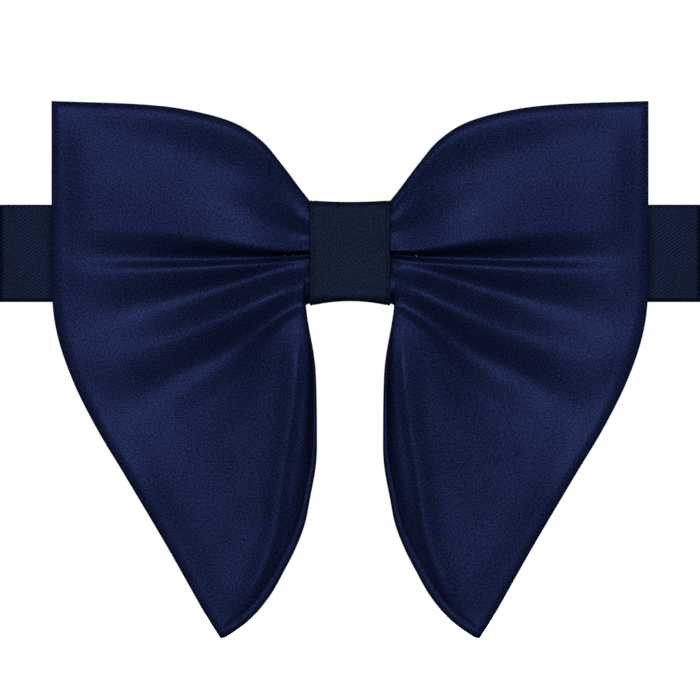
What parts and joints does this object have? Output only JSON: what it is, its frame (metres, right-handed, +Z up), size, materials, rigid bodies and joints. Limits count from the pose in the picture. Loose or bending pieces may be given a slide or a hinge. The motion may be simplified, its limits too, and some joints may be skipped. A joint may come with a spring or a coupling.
{
  "type": "pre-tied bow tie",
  "caption": "Oversized navy satin butterfly bow tie, pre-tied: two padded wings gathered in a twill knot on a flat neck strap that adjusts with a slider and fastens with a hook and eye.",
  "frame": {"origin": "middle of the flat back face of the knot, where the bow lies on the collar", "axes": "+Y is the back face's outward normal, towards the neck; -Y is the front of the bow; +X is to the right seen from the front; +Z is up"},
  "size_m": [0.2024, 0.0498, 0.1351],
  "materials": {
    "wing_satin": "navy satin with a soft sheen and a fine diagonal micro-weave",
    "knot_twill": "navy twill satin with fine diagonal ribs, slightly duller than the wings",
    "strap_satin": "dark navy satin ribbon with fine diagonal ribs",
    "interlining": "matt off-white wool blend interlining",
    "thread": "dark navy sewing thread",
    "plated_metal": "nickel plate, lightly brushed by wear"
  },
  "bodies": {
    "bow": {"left_wing_front_leaf": "wing_satin", "left_wing_back_leaf": "wing_satin", "left_wing_interlining": "interlining", "right_wing_front_leaf": "wing_satin", "right_wing_back_leaf": "wing_satin", "right_wing_interlining": "interlining", "knot_wrap": "knot_twill", "knot_interfacing": "interlining", "gather_binding": "thread", "strap_front_sleeve": "strap_satin", "strap_front_interlining": "interlining", "left_strap_bend": "strap_satin", "right_strap_bend": "strap_satin"},
    "left_strap": {"left_strap_run": "strap_satin"},
    "strap_end": {"hook_loop": "strap_satin", "left_strap_return": "strap_satin"},
    "slider": {"slider_frame": "plated_metal", "slider_loop": "strap_satin", "slider_loop_tack": "thread"},
    "hook": {"hook": "plated_metal"},
    "right_strap": {"right_strap_run": "strap_satin", "eye_loop_tack": "thread"},
    "eye": {"eye": "plated_metal"}
  },
  "joints": [
    {"name": "left_strap_swing", "type": "hinge", "parent": "bow", "child": "left_strap", "pos_m": [-0.088, 0.0097, 0], "axis": [0, 0, 1], "range_deg": [-4, 80], "deforming": ["left_strap_bend"]},
    {"name": "right_strap_swing", "type": "hinge", "parent": "bow", "child": "right_strap", "pos_m": [0.088, 0.0097, 0], "axis": [0, 0, -1], "range_deg": [-4, 80], "deforming": ["right_strap_bend"]},
    {"name": "strap_adjust", "type": "slide", "parent": "left_strap", "child": "strap_end", "axis": [1, 0, 0], "range_m": [-0.012, 0.012], "deforming": ["left_strap_run"]},
    {"name": "slider_travel", "type": "slide", "parent": "strap_end", "child": "slider", "axis": [1, 0, 0], "range_m": [-0.012, 0.012], "deforming": ["left_strap_return"]},
    {"name": "hook_pivot", "type": "hinge", "parent": "strap_end", "child": "hook", "pos_m": [-0.024, 0.0237, 0], "axis": [0, 0, 1], "range_deg": [-45, 60]},
    {"name": "eye_pivot", "type": "hinge", "parent": "right_strap", "child": "eye", "pos_m": [0.028, 0.0237, 0], "axis": [0, 0, -1], "range_deg": [-45, 60]}
  ],
  "couplings": [
    {"joint": "slider_travel", "follows": "strap_adjust", "ratio": 1}
  ]
}
